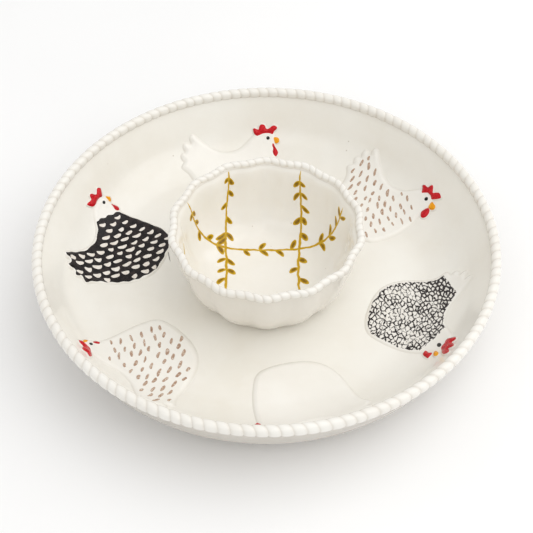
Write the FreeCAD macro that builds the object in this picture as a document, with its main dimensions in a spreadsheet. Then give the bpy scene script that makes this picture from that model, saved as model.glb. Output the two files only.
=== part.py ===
"""Chip and dip server: a round stoneware platter with a beaded rim and six
relief hens, and a loose lobed dip bowl standing in its middle.

Frame: millimetres, +Z up. The origin is on the table plane, under the centre
of the platter's foot ring. -Y is the front, +X is the right-hand side.
"""
import FreeCAD
import Part
import Sketcher
import math
import os

V = FreeCAD.Vector
doc = FreeCAD.newDocument("ChipAndDipServer")

# --------------------------------------------------------------------------
# Driving dimensions
# --------------------------------------------------------------------------
sheet = doc.addObject("Spreadsheet::Sheet", "Dims")
DIMS = [
    # platter shell
    ("floor_top", 9.4, "inside floor height"),
    ("floor_under", 4.5, "underside of the floor"),
    ("cove_start", 111.0, "radius where the inside floor starts to curve up"),
    ("cove_radius", 42.0, "radius of the inside cove"),
    ("cove_angle", 62.0, "slope of the wall above the cove"),
    ("rim_land", 51.2, "height of the flat land under the rim border"),
    ("rim_land_outer", 163.2, "outer radius of the land"),
    ("under_start", 116.5, "radius where the underside starts to curve up"),
    ("under_radius", 42.0, "radius of the outside curve"),
    ("foot_inner", 102.0, "inner radius of the foot ring"),
    ("foot_outer", 109.0, "outer radius of the foot ring"),
    # platter rope border
    ("border_ring", 161.3, "radius of the line of beads"),
    ("border_height", 54.0, "height of the line of beads"),
    ("bead_full", 3.7, "section radius at the middle of a bead"),
    ("bead_waist", 2.75, "section radius between two beads"),
    ("bead_slant", 27.0, "turn of a bead off the radius"),
    ("bead_total", 132, "beads round the platter"),
    # relief hens
    ("relief", 2.0, "height of a hen above the glaze"),
    ("eye_up", 145.6, "distance from the axis to a hen's eye, along the surface"),
    ("turn_back", 0.7, "hen 1, clockwise from +Y"),
    ("turn_right", 61.3, "hen 2"),
    ("turn_right_front", 121.3, "hen 3"),
    ("turn_front", 180.1, "hen 4"),
    ("turn_left_front", 239.2, "hen 5"),
    ("turn_left", 297.4, "hen 6"),
    # dip bowl
    ("lobe_total", 14, "lobes round the dip bowl"),
    ("lobe_outer", 1.0, "lobe height outside"),
    ("lobe_inner", 0.8, "lobe height inside"),
    ("bowl_land", 64.0, "height of the land under the bowl's border"),
    ("bowl_floor", 14.4, "inside floor height of the bowl"),
    ("bowl_foot_inner", 42.0, "inner radius of the bowl's foot"),
    ("bowl_foot_deep", 1.6, "recess under the bowl"),
    ("lip_ring", 66.0, "radius of the line of beads on the bowl"),
    ("lip_height", 66.0, "height of the line of beads on the bowl"),
    ("lip_bead_full", 2.8, "section radius at the middle of a bead"),
    ("lip_bead_waist", 2.1, "section radius between two beads"),
    ("lip_beads_per_lobe", 5, "beads to one lobe"),
]
for i, (alias, value, note) in enumerate(DIMS, start=1):
    sheet.set("A%d" % i, note)
    sheet.set("B%d" % i, repr(value))
    sheet.setAlias("B%d" % i, alias)
doc.recompute()


def dim(alias):
    return float(getattr(sheet, alias))


# --------------------------------------------------------------------------
# Helpers
# --------------------------------------------------------------------------
def new_body(label):
    body = doc.addObject("PartDesign::Body", label)
    body.Label = label
    return body


def origin_item(body, role):
    for f in body.Origin.OriginFeatures:
        if f.Role == role:
            return f
    raise RuntimeError("no origin item " + role)


def new_sketch(body, name, role, up=None):
    sk = body.newObject("Sketcher::SketchObject", name)
    sk.AttachmentSupport = [(origin_item(body, role), "")]
    sk.MapMode = "FlatFace"
    if up is not None:
        sk.AttachmentOffset = FreeCAD.Placement(V(0, 0, up), FreeCAD.Rotation())
    return sk


def value_of(expr):
    """Value of a length expression over the sheet's aliases."""
    if isinstance(expr, (int, float)):
        return float(expr)
    q = sheet.evalExpression(expr.replace("Dims.", ""))
    return float(q.Value) if hasattr(q, "Value") else float(q)


def fix_point(sk, geo, pos, ex, ey):
    """Ties a vertex to the origin with two driven distances."""
    for kind, e in (("DistanceX", ex), ("DistanceY", ey)):
        v = value_of(e)
        if abs(v) < 1e-9 and isinstance(e, (int, float)):
            target = -2 if kind == "DistanceX" else -1
            sk.addConstraint(Sketcher.Constraint("PointOnObject", geo, pos, target))
            continue
        if v < 0:
            n = sk.addConstraint(Sketcher.Constraint(kind, geo, pos, -1, 1, -v))
            if not isinstance(e, (int, float)):
                sk.setExpression("Constraints[%d]" % n, "-(%s)" % e)
        else:
            n = sk.addConstraint(Sketcher.Constraint(kind, -1, 1, geo, pos, v))
            if not isinstance(e, (int, float)):
                sk.setExpression("Constraints[%d]" % n, e)


def outline(sk, pts):
    """Closed outline. Each entry is (x, y) for a corner, or
    (x, y, cx, cy, r, turn) where the edge arriving at the corner is an arc
    about (cx, cy); turn is +1 anticlockwise, -1 clockwise."""
    n = len(pts)
    xy = [(value_of(p[0]), value_of(p[1])) for p in pts]
    first = None
    for i in range(n):
        j = (i + 1) % n
        a, b = xy[i], xy[j]
        p = pts[j]
        if len(p) > 2:
            cx, cy, r = value_of(p[2]), value_of(p[3]), value_of(p[4])
            t0 = math.atan2(a[1] - cy, a[0] - cx)
            t1 = math.atan2(b[1] - cy, b[0] - cx)
            if p[5] > 0:
                while t1 < t0:
                    t1 += 2 * math.pi
                arc = Part.ArcOfCircle(Part.Circle(V(cx, cy, 0), V(0, 0, 1), r), t0, t1)
                start, end = 1, 2
            else:
                while t0 < t1:
                    t0 += 2 * math.pi
                arc = Part.ArcOfCircle(Part.Circle(V(cx, cy, 0), V(0, 0, 1), r), t1, t0)
                start, end = 2, 1
            g = sk.addGeometry(arc, False)
            c = sk.addConstraint(Sketcher.Constraint("Radius", g, r))
            if not isinstance(p[4], (int, float)):
                sk.setExpression("Constraints[%d]" % c, p[4])
        else:
            g = sk.addGeometry(Part.LineSegment(V(a[0], a[1], 0), V(b[0], b[1], 0)), False)
            start, end = 1, 2
        if first is None:
            first = (g, start)
        else:
            sk.addConstraint(Sketcher.Constraint("Coincident", last[0], last[1], g, start))
        fix_point(sk, g, start, pts[i][0], pts[i][1])
        last = (g, end)
    sk.addConstraint(Sketcher.Constraint("Coincident", last[0], last[1], first[0], first[1]))
    return sk


def revolve(body, name, sk, cut=False):
    f = body.newObject("PartDesign::Groove" if cut else "PartDesign::Revolution", name)
    f.Profile = sk
    f.ReferenceAxis = (sk, ["V_Axis"])
    f.Angle = 360.0
    f.Reversed = False
    sk.Visibility = False
    return f


# --------------------------------------------------------------------------
# Shared surface: the platter's inside, as a meridian (r, z)
# --------------------------------------------------------------------------
# flat floor to cove_start, an arc of cove_radius up to cove_angle, and a
# straight wall from there to the rim.
CZ = "(Dims.floor_top + Dims.cove_radius)"
CS, CC = "sin(Dims.cove_angle * 1 deg)", "cos(Dims.cove_angle * 1 deg)"
CT = "tan(Dims.cove_angle * 1 deg)"
WALL_R = "Dims.cove_start + Dims.cove_radius * %s" % CS
WALL_Z = "%s - Dims.cove_radius * %s" % (CZ, CC)


def wall_r_at(z_expr):
    return "%s + (%s - (%s)) / %s" % (WALL_R, z_expr, WALL_Z, CT)


def surface_point(dist):
    """(r, z) of the inside surface at a distance from the axis measured
    along it."""
    rc, rho, phi = dim("cove_start"), dim("cove_radius"), math.radians(dim("cove_angle"))
    zf = dim("floor_top")
    if dist < rc:
        return dist, zf
    if dist < rc + rho * phi:
        a = (dist - rc) / rho
        return rc + rho * math.sin(a), zf + rho * (1 - math.cos(a))
    d = dist - rc - rho * phi
    return (rc + rho * math.sin(phi) + d * math.cos(phi),
            zf + rho * (1 - math.cos(phi)) + d * math.sin(phi))


# --------------------------------------------------------------------------
# Platter shell: floor, cove, wall and foot ring, one revolved section
# --------------------------------------------------------------------------
platter = new_body("platter_body")
sk = new_sketch(platter, "platter_section", "XZ_Plane")
UZ = "(Dims.floor_under + Dims.under_radius)"
outline(sk, [
    (0, "Dims.floor_under"),
    ("Dims.foot_inner - 1.2", "Dims.floor_under"),
    ("Dims.foot_inner", "Dims.floor_under - 1.2"),
    ("Dims.foot_inner", "0.8 + 0 * Dims.foot_inner"),
    ("Dims.foot_inner + 0.8", 0),
    ("Dims.foot_outer - 0.8", 0),
    ("Dims.foot_outer", "0.8 + 0 * Dims.foot_inner"),
    ("Dims.foot_outer + 0.6", "Dims.floor_under - 0.6"),
    ("Dims.foot_outer + 1.8", "Dims.floor_under"),
    ("Dims.under_start", "Dims.floor_under"),
    ("Dims.under_start + Dims.under_radius * %s" % CS, "%s - Dims.under_radius * %s" % (UZ, CC),
     "Dims.under_start", UZ, "Dims.under_radius", 1),
    ("Dims.rim_land_outer - 0.6", "Dims.rim_land - 3"),
    ("Dims.rim_land_outer", "Dims.rim_land"),
    (wall_r_at("Dims.rim_land"), "Dims.rim_land"),
    (WALL_R, WALL_Z),
    ("Dims.cove_start", "Dims.floor_top", "Dims.cove_start", CZ, "Dims.cove_radius", -1),
    (0, "Dims.floor_top"),
])
revolve(platter, "platter_turn", sk)

# --------------------------------------------------------------------------
# Rope borders: slanted beads running round a ring, one smooth face per bead,
# flat underneath where the rope sits on its land. Such a wavy closed surface
# is not a sketch feature, so these two are built directly, with their sizes
# read from the sheet.
# --------------------------------------------------------------------------
BEAD_WAVE = (-1.0, 0.45, 1.0, 0.45)


def rope_ring(label, ring, height, full, waist, land, beads, slant, lobes=0, lobe=0.0):
    nj = 12
    nw = len(BEAD_WAVE)
    ni = beads * nw
    # a cubic surface runs inside its control points, by these factors
    around = (4.0 + 2.0 * math.cos(2 * math.pi / nj)) / 6.0
    crest = (4 * BEAD_WAVE[2] + BEAD_WAVE[1] + BEAD_WAVE[3]) / 6.0
    dip = (4 * BEAD_WAVE[0] + BEAD_WAVE[1] + BEAD_WAVE[3]) / 6.0
    amp = (full - waist) / around / (crest - dip)
    mean = full / around - amp * crest
    lean = math.tan(math.radians(slant))
    poles = []
    for i in range(ni):
        rho = mean + amp * BEAD_WAVE[i % nw]
        row = []
        for j in range(nj):
            phi = 2 * math.pi * (j + 0.5) / nj
            out, up = rho * math.cos(phi), rho * math.sin(phi)
            ang = 2 * math.pi * i / ni + lean * out / ring
            r = ring + out - lobe * math.cos(lobes * ang)
            z = height + up
            if z < land + 0.35:
                z = land
            row.append(V(r * math.cos(ang), r * math.sin(ang), z))
        poles.append(row)
    faces = []
    uk = [float(k) for k in range(-3, nw + 4)]
    vk = [float(k) for k in range(nj + 1)]
    for b in range(beads):
        rows = [poles[(b * nw - 1 + k) % ni] for k in range(nw + 3)]
        surf = Part.BSplineSurface()
        surf.buildFromPolesMultsKnots(rows, [1] * len(uk), [1] * len(vk), uk, vk, False, True, 3, 3)
        surf.segment(0.0, float(nw), 0.0, float(nj))
        faces.append(surf.toShape())
    skin = Part.Compound(faces)
    skin.sewShape(1e-5)
    solid = Part.Solid(skin.Shells[0])
    if solid.Volume < 0:
        solid = solid.reversed()
    f = doc.addObject("Part::Feature", label)
    f.Label = label
    f.Shape = solid
    f.Placement = FreeCAD.Placement()
    return f


border = rope_ring(
    "platter_bead_border", dim("border_ring"), dim("border_height"), dim("bead_full"), dim("bead_waist"),
    dim("rim_land"), int(dim("bead_total")), dim("bead_slant"))

# --------------------------------------------------------------------------
# Relief hens: one sprig outline, in (distance round, distance up) from the
# eye, both along the platter's inside surface; round is clockwise.
# --------------------------------------------------------------------------
HEN = [
    # comb, beak and face
    (-11.5, 3.2), (-13.8, 5.5), (-14.6, 9.6), (-13.0, 11.2), (-9.4, 10.2), (-8.2, 12.6), (-5.6, 14.0), (-2.8, 13.0),
    (-0.8, 10.4), (1.2, 11.6), (3.2, 13.3), (6.2, 13.0), (7.2, 10.0), (6.2, 6.4), (5.6, 3.4), (7.6, 2.6),
    (9.6, -0.6), (7.8, -4.0), (7.4, -6.4), (8.4, -10.6), (8.2, -13.6), (6.2, -15.0),
    # breast and belly
    (6.4, -18.5), (7.6, -25.0), (8.6, -32.0), (9.0, -40.0), (8.7, -47.0), (7.8, -53.5), (6.0, -58.0), (2.8, -61.4),
    (-1.8, -64.0), (-7.0, -65.8), (-13.4, -66.6), (-20.4, -66.4), (-26.8, -65.0), (-34.0, -62.0), (-40.4, -57.8),
    (-46.6, -52.0), (-52.4, -44.6), (-56.8, -37.4), (-60.6, -30.4), (-63.8, -24.2), (-67.6, -18.4),
    # tail feathers
    (-72.4, -13.4), (-73.2, -11.4), (-71.0, -8.6), (-72.6, -6.8), (-74.0, -3.4), (-72.6, -1.8), (-70.2, -1.4),
    (-71.8, 2.2), (-71.4, 5.2), (-69.4, 5.4), (-66.2, 3.4), (-64.8, 4.0), (-66.0, 7.2), (-65.0, 10.0),
    (-62.4, 10.0), (-59.0, 6.4),
    # back and neck
    (-54.4, 1.6), (-49.4, -2.6), (-44.6, -6.0), (-40.0, -8.4), (-34.6, -9.8), (-28.6, -9.8), (-23.6, -8.2),
    (-19.6, -5.4), (-16.6, -2.6), (-13.4, -0.4),
]


def hen(label, turn_alias):
    body = new_body(label)
    s = new_sketch(body, label + "_outline", "XY_Plane")
    up0 = dim("eye_up")
    pts = []
    for u, w in HEN:
        r, _ = surface_point(up0 + w)
        a = math.pi / 2 - u / r
        pts.append((r * math.cos(a), r * math.sin(a)))
    n = len(pts)
    for i in range(n):
        a, b = pts[i], pts[(i + 1) % n]
        s.addGeometry(Part.LineSegment(V(a[0], a[1], 0), V(b[0], b[1], 0)), False)
    for i in range(n):
        s.addConstraint(Sketcher.Constraint("Coincident", i, 2, (i + 1) % n, 1))
    pad = body.newObject("PartDesign::Pad", label + "_block")
    pad.Profile = s
    pad.Length = dim("rim_land")
    pad.setExpression("Length", "Dims.rim_land * 1 mm")
    s.Visibility = False
    # the back of the sprig follows the platter's inside surface
    s2 = new_sketch(body, label + "_back_section", "XZ_Plane")
    outline(s2, [
        (0, "-2 + 0 * Dims.relief"),
        ("Dims.rim_land_outer + 20", "-2 + 0 * Dims.relief"),
        ("Dims.rim_land_outer + 20", "Dims.rim_land + 10"),
        (wall_r_at("(Dims.rim_land + 10)"), "Dims.rim_land + 10"),
        (WALL_R, WALL_Z),
        ("Dims.cove_start", "Dims.floor_top", "Dims.cove_start", CZ, "Dims.cove_radius", -1),
        (0, "Dims.floor_top"),
    ])
    revolve(body, label + "_back", s2, cut=True)
    # its face is the same surface, one relief height further in
    s3 = new_sketch(body, label + "_face_section", "XZ_Plane")
    fr = "(Dims.cove_radius - Dims.relief)"
    face_r = "Dims.cove_start + %s * %s" % (fr, CS)
    face_z = "%s - %s * %s" % (CZ, fr, CC)
    top = "(Dims.rim_land + 10)"
    outline(s3, [
        (0, top),
        (0, "Dims.floor_top + Dims.relief"),
        ("Dims.cove_start", "Dims.floor_top + Dims.relief"),
        (face_r, face_z, "Dims.cove_start", CZ, fr, 1),
        ("%s + (%s - (%s)) / %s" % (face_r, top, face_z, CT), top),
    ])
    body.Tip = revolve(body, label + "_face", s3, cut=True)
    turn = dim(turn_alias)
    body.Placement = FreeCAD.Placement(V(0, 0, 0), FreeCAD.Rotation(V(0, 0, 1), -turn))
    body.setExpression("Placement.Rotation.Angle", "-Dims.%s * 1 deg" % turn_alias)
    return body


hens = [hen(*h) for h in (
    ("hen_back_white", "turn_back"),
    ("hen_right_brown_fleck", "turn_right"),
    ("hen_right_front_speckled", "turn_right_front"),
    ("hen_front_white", "turn_front"),
    ("hen_left_front_brown_fleck", "turn_left_front"),
    ("hen_left_black_scalloped", "turn_left"),
)]

# --------------------------------------------------------------------------
# Dip bowl shell: lobed sections lofted from foot to lip, hollowed by a second
# loft, with a recess under the foot
# --------------------------------------------------------------------------
OUTER = [(9.4, 47.0), (12.8, 49.6), (17.0, 52.8), (21.0, 55.3), (29.3, 59.4), (37.5, 61.9), (45.8, 63.3),
         (56.0, 64.3), (61.0, 65.3), (64.0, 66.9)]
INNER = [(14.4, 37.0), (15.4, 42.4), (18.0, 47.2), (22.0, 50.9), (29.3, 55.2), (37.5, 57.8), (45.8, 59.3),
         (56.0, 60.5), (61.0, 61.5), (66.0, 63.4)]


def lobed(radius, lobe):
    """Closed line with one crest at the front, on -Y."""
    n = int(dim("lobe_total"))
    m = n * 8
    pts = []
    for k in range(m):
        a = 2 * math.pi * k / m
        r = radius - lobe * math.cos(n * a)
        pts.append(V(r * math.cos(a), r * math.sin(a), 0))
    c = Part.BSplineCurve()
    c.interpolate(Points=pts, PeriodicFlag=True)
    return c


shell = new_body("dip_bowl_shell")


def loft(kind, name, table, lobe):
    sks = []
    for i, (z, r) in enumerate(table):
        s = new_sketch(shell, "%s_%d" % (name, i + 1), "XY_Plane", up=z)
        s.addGeometry(lobed(r, lobe * min(1.0, 0.35 + (z - 9.0) / 18.0)), False)
        s.Visibility = False
        sks.append(s)
    f = shell.newObject("PartDesign::" + kind, name)
    f.Profile = sks[0]
    f.Sections = sks[1:]
    f.Ruled = False
    f.Closed = False
    return f


loft("AdditiveLoft", "bowl_outside", OUTER, dim("lobe_outer"))
loft("SubtractiveLoft", "bowl_inside", INNER, dim("lobe_inner"))
s = new_sketch(shell, "bowl_foot_section", "XZ_Plane")
outline(s, [
    (0, "Dims.floor_top - 3"),
    ("Dims.bowl_foot_inner", "Dims.floor_top - 3"),
    ("Dims.bowl_foot_inner", "Dims.floor_top"),
    ("Dims.bowl_foot_inner - 1.5", "Dims.floor_top + Dims.bowl_foot_deep"),
    (0, "Dims.floor_top + Dims.bowl_foot_deep"),
])
shell.Tip = revolve(shell, "bowl_foot_recess", s, cut=True)

# Lip border of the dip bowl, its line of beads following the lobes
lip = rope_ring(
    "dip_bowl_bead_border", dim("lip_ring"), dim("lip_height"), dim("lip_bead_full"), dim("lip_bead_waist"),
    dim("bowl_land"), int(dim("lobe_total") * dim("lip_beads_per_lobe")), dim("bead_slant"),
    int(dim("lobe_total")), dim("lobe_outer"))

# --------------------------------------------------------------------------
# Recompute, test and write
# --------------------------------------------------------------------------
doc.recompute()
bad = []
for o in doc.Objects:
    st = [str(x) for x in o.State]
    if "Invalid" in st or "Error" in st:
        bad.append("%s %s" % (o.Name, st))
if bad:
    raise SystemExit("failed objects: " + "; ".join(bad))

nodes = [platter, border] + hens + [shell, lip]
for b in nodes:
    sh = b.Shape
    if sh.isNull() or not sh.isValid():
        raise SystemExit("bad shape: " + b.Label)
    if len(sh.Solids) != 1:
        raise SystemExit("%s has %d solids" % (b.Label, len(sh.Solids)))

os.makedirs("parts", exist_ok=True)
for b in nodes:
    b.Shape.exportStep(os.path.join("parts", b.Label + ".step"))
    bb = b.Shape.BoundBox
    print("%-28s vol %9.1f mm3  x %7.2f..%7.2f  y %7.2f..%7.2f  z %6.2f..%6.2f" % (
        b.Label, b.Shape.Volume, bb.XMin, bb.XMax, bb.YMin, bb.YMax, bb.ZMin, bb.ZMax))
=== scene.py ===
import math

import bpy
import numpy as np
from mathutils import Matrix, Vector


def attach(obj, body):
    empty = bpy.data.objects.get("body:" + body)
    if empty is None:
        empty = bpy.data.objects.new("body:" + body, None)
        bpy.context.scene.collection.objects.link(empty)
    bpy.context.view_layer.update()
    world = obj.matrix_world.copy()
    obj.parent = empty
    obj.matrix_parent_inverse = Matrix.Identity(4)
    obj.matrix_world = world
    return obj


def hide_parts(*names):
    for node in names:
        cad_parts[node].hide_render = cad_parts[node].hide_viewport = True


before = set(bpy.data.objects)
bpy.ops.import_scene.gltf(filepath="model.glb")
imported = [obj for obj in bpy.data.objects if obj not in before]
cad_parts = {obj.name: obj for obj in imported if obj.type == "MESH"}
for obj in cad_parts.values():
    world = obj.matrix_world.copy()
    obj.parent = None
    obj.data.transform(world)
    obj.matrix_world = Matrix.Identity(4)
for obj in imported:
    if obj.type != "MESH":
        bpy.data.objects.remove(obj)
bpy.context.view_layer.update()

MM = 0.001
rng = np.random.default_rng(20240611)

# ---------------------------------------------------------------------------
# Surfaces, in millimetres
# ---------------------------------------------------------------------------
FLOOR_Z, COVE_R0, COVE_RHO, COVE_PHI = 9.4, 111.0, 42.0, math.radians(62.0)
LAND_Z, LAND_OUT = 51.2, 163.2
COVE_R1 = COVE_R0 + COVE_RHO * math.sin(COVE_PHI)
COVE_Z1 = FLOOR_Z + COVE_RHO * (1 - math.cos(COVE_PHI))
Q1 = COVE_R0 + COVE_RHO * COVE_PHI
Q_TOP = Q1 + (LAND_Z - COVE_Z1) / math.sin(COVE_PHI)


def dish_meridian(q):
    """Inside of the platter at distance q from the axis along the surface: r, z and normal."""
    q = np.asarray(q, float)
    a = np.clip((q - COVE_R0) / COVE_RHO, 0.0, COVE_PHI)
    r = np.minimum(q, COVE_R0) + COVE_RHO * np.sin(a)
    z = FLOOR_Z + COVE_RHO * (1 - np.cos(a))
    d = np.maximum(q - Q1, 0.0)
    r = r + d * math.cos(COVE_PHI)
    z = z + d * math.sin(COVE_PHI)
    return r, z, -np.sin(a), np.cos(a)


def hand(r, th):
    """Slight unevenness of a pressed dish, along the normal."""
    k = np.clip((r - 25.0) / 60.0, 0.0, 1.0) * np.clip((160.0 - r) / 12.0, 0.0, 1.0)
    return k * (0.16 * np.sin(2 * th + 0.6) + 0.12 * np.sin(5 * th + r / 31.0) + 0.07 * np.sin(11 * th - r / 17.0)
                + 0.05 * np.sin(r / 6.5 + 3 * np.sin(2 * th)))


def dish_point(q, th, h):
    r, z, nr, nz = dish_meridian(q)
    h = h + hand(r, th)
    rr, zz = r + h * nr, z + h * nz
    return np.stack([rr * np.cos(th), rr * np.sin(th), zz], -1)


def hen_point(u, v, turn, h):
    """u clockwise round the platter and v outwards from a hen's eye, both along the surface."""
    q = 145.6 + np.asarray(v, float)
    r = dish_meridian(q)[0]
    th = math.radians(90.0 - turn) - np.asarray(u, float) / r
    return dish_point(q, th, h)


def smooth(x):
    x = np.clip(x, 0.0, 1.0)
    return x * x * (3 - 2 * x)


# ---------------------------------------------------------------------------
# Mesh helpers
# ---------------------------------------------------------------------------
def make_mesh(name, verts, faces, mats, attrs=None, face_mat=None):
    verts = np.asarray(verts, float) * MM
    me = bpy.data.meshes.new(name)
    me.from_pydata(verts.tolist(), [], faces if isinstance(faces, list) else faces.tolist())
    me.polygons.foreach_set("use_smooth", [True] * len(me.polygons))
    for m in mats if isinstance(mats, (list, tuple)) else [mats]:
        me.materials.append(m)
    if face_mat is not None:
        me.polygons.foreach_set("material_index", np.asarray(face_mat, "int32"))
    for k, a in (attrs or {}).items():
        a = np.asarray(a, "float32")
        if a.ndim == 2:
            at = me.attributes.new(k, "FLOAT_VECTOR", "POINT")
            at.data.foreach_set("vector", a.ravel())
        else:
            at = me.attributes.new(k, "FLOAT", "POINT")
            at.data.foreach_set("value", a)
    me.update()
    ob = bpy.data.objects.new(name, me)
    bpy.context.scene.collection.objects.link(ob)
    return ob


def grid_faces(ni, nj, wrap_i=False, wrap_j=False, start=0, flip=False):
    ii = np.arange(ni if wrap_i else ni - 1)
    jj = np.arange(nj if wrap_j else nj - 1)
    I, J = np.meshgrid(ii, jj, indexing="ij")
    I2, J2 = (I + 1) % ni, (J + 1) % nj
    f = np.stack([I * nj + J, I2 * nj + J, I2 * nj + J2, I * nj + J2], -1).reshape(-1, 4) + start
    return f[:, ::-1] if flip else f


def lathe(name, rings, n, mats, lobes=None, face_mat=None, attrs=None, shift=None):
    """Closed surface of revolution. rings: (r, z) from the axis round to the axis again."""
    rings = np.asarray(rings, float)
    th = 2 * math.pi * np.arange(n) / n
    R, T = np.meshgrid(rings[:, 0], th, indexing="ij")
    Z = np.repeat(rings[:, 1][:, None], n, 1)
    if lobes is not None:
        R = R - lobes[:, None] * np.cos(14 * T) - 0.12 * lobes[:, None] * np.cos(28 * T)
    if shift is not None:
        dr, dz = shift(R, Z, T)
        R, Z = R + dr, Z + dz
    P = np.stack([R * np.cos(T), R * np.sin(T), Z], -1)
    m = len(rings)
    inner = P[1:-1].reshape(-1, 3)
    verts = np.vstack([inner, P[0].mean(0), P[-1].mean(0)])
    f = grid_faces(m - 2, n, wrap_j=True)
    faces = f.tolist()
    a, b = len(inner), len(inner) + 1
    for j in range(n):
        k = (j + 1) % n
        faces.append([a, j, k])
        faces.append([b, (m - 3) * n + k, (m - 3) * n + j])
    fm = None
    if face_mat is not None:
        fm = np.zeros(len(faces), int)
        fm[: (m - 3) * n] = np.repeat(np.asarray(face_mat[1:m - 2]), n)
        fm[(m - 3) * n:] = 0
    at = {}
    for k, val in (attrs or {}).items():
        at[k] = np.concatenate([np.repeat(np.asarray(val)[1:-1], n), [val[0], val[-1]]])
    return make_mesh(name, verts, faces, mats, at, fm)


def resample(pts, step):
    pts = np.asarray(pts, float)
    d = np.r_[0, np.cumsum(np.hypot(*np.diff(pts, axis=0).T))]
    out = [pts[0]]
    for i in range(len(pts) - 1):
        L = d[i + 1] - d[i]
        k = max(1, int(math.ceil(L / step)))
        for j in range(1, k + 1):
            out.append(pts[i] + (pts[i + 1] - pts[i]) * j / k)
    return np.array(out)


def round_curve(pts, per, closed=False):
    """Catmull-Rom through points."""
    P = np.asarray(pts, float)
    n = len(P)
    out = []
    segs = n if closed else n - 1
    for i in range(segs):
        if closed:
            p0, p1, p2, p3 = P[(i - 1) % n], P[i], P[(i + 1) % n], P[(i + 2) % n]
        else:
            p0, p1, p2, p3 = P[max(i - 1, 0)], P[i], P[i + 1], P[min(i + 2, n - 1)]
        for k in range(per):
            t = k / per
            out.append(0.5 * ((2 * p1) + (p2 - p0) * t + (2 * p0 - 5 * p1 + 4 * p2 - p3) * t * t
                              + (3 * p1 - p0 - 3 * p2 + p3) * t ** 3))
    if not closed:
        out.append(P[-1])
    return np.array(out)


def signed_distance(x, y, poly):
    """Distance to a closed outline, positive inside."""
    d2 = np.full(x.shape, 1e9)
    ins = np.zeros(x.shape, bool)
    n = len(poly)
    for i in range(n):
        x1, y1 = poly[i]
        x2, y2 = poly[(i + 1) % n]
        ex, ey = x2 - x1, y2 - y1
        t = np.clip(((x - x1) * ex + (y - y1) * ey) / (ex * ex + ey * ey + 1e-12), 0, 1)
        d2 = np.minimum(d2, (x - x1 - t * ex) ** 2 + (y - y1 - t * ey) ** 2)
        if y1 != y2:
            c = ((y1 > y) != (y2 > y)) & (x < ex * (y - y1) / ey + x1)
            ins ^= c
    return np.where(ins, 1, -1) * np.sqrt(d2)


def sdf_patch(name, poly, step, margin, place, mats, extra=None, inside=None):
    """A sheet over an outline. place(u, v, d) gives the 3-D points, d the distance inside."""
    lo, hi = poly.min(0) - margin - step, poly.max(0) + margin + step
    us = np.arange(lo[0], hi[0] + step, step)
    vs = np.arange(lo[1], hi[1] + step, step)
    U, W = np.meshgrid(us, vs, indexing="ij")
    D = signed_distance(U, W, poly) if inside is None else inside(U, W)
    keep = D > -margin
    f = grid_faces(len(us), len(vs))
    kf = keep.ravel()[f].all(1)
    f = f[kf]
    used = np.unique(f)
    idx = np.full(U.size, -1)
    idx[used] = np.arange(len(used))
    u, v, d = U.ravel()[used], W.ravel()[used], D.ravel()[used]
    P = place(u, v, d)
    at = {"hen_uv": np.stack([u, v, np.zeros_like(u)], -1), "edge_d": d}
    if extra is not None:
        at.update(extra(u, v, d))
    return make_mesh(name, P, idx[f][:, ::-1], mats, at)


# ---------------------------------------------------------------------------
# Materials
# ---------------------------------------------------------------------------
def srgb(r, g, b):
    def f(c):
        c /= 255.0
        return c / 12.92 if c <= 0.04045 else ((c + 0.055) / 1.055) ** 2.4
    return (f(r), f(g), f(b), 1.0)


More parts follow.
